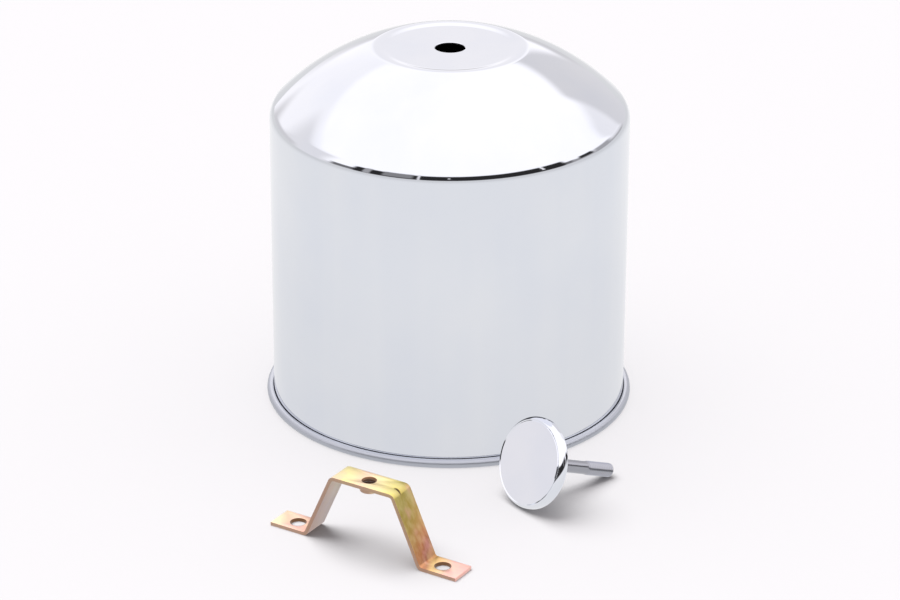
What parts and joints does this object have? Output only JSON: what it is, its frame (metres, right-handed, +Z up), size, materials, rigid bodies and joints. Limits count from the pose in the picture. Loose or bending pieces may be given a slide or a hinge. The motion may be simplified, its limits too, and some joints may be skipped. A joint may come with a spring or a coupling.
{
  "type": "air filter housing kit",
  "caption": "Tall domed chrome air filter cover with a rolled rim, laid out with its hat-shaped mounting bracket and a round clamp knob on a threaded stud.",
  "frame": {"origin": "middle of the laid-out kit's footprint, on the surface that it stands on", "axes": "+Z up along the cover's axis, +Y from the bracket in front towards the cover behind, +X to the right as seen from in front"},
  "size_m": [0.1584, 0.255, 0.1594],
  "materials": {
    "cover_chrome": "bright chrome plate on deep-drawn steel sheet",
    "bracket_yellow_zinc": "yellow chromate over zinc plate, with pink and olive tints",
    "knob_chrome": "bright chrome plate",
    "stud_zinc": "bright zinc plate"
  },
  "bodies": {
    "bracket": {"mounting_bracket": "bracket_yellow_zinc"},
    "cover": {"cover_shell": "cover_chrome"},
    "knob": {"knob_cap": "knob_chrome", "knob_stud": "stud_zinc"}
  },
  "joints": [
    {"name": "cover_lift", "type": "slide", "parent": "bracket", "child": "cover", "axis": [0, 0, 1], "range_m": [0, 0.18]},
    {"name": "knob_turn", "type": "hinge", "parent": "bracket", "child": "knob", "pos_m": [0.0359, -0.0589, 0.01758], "axis": [0.7468, 0.5587, -0.3607], "continuous": true}
  ]
}
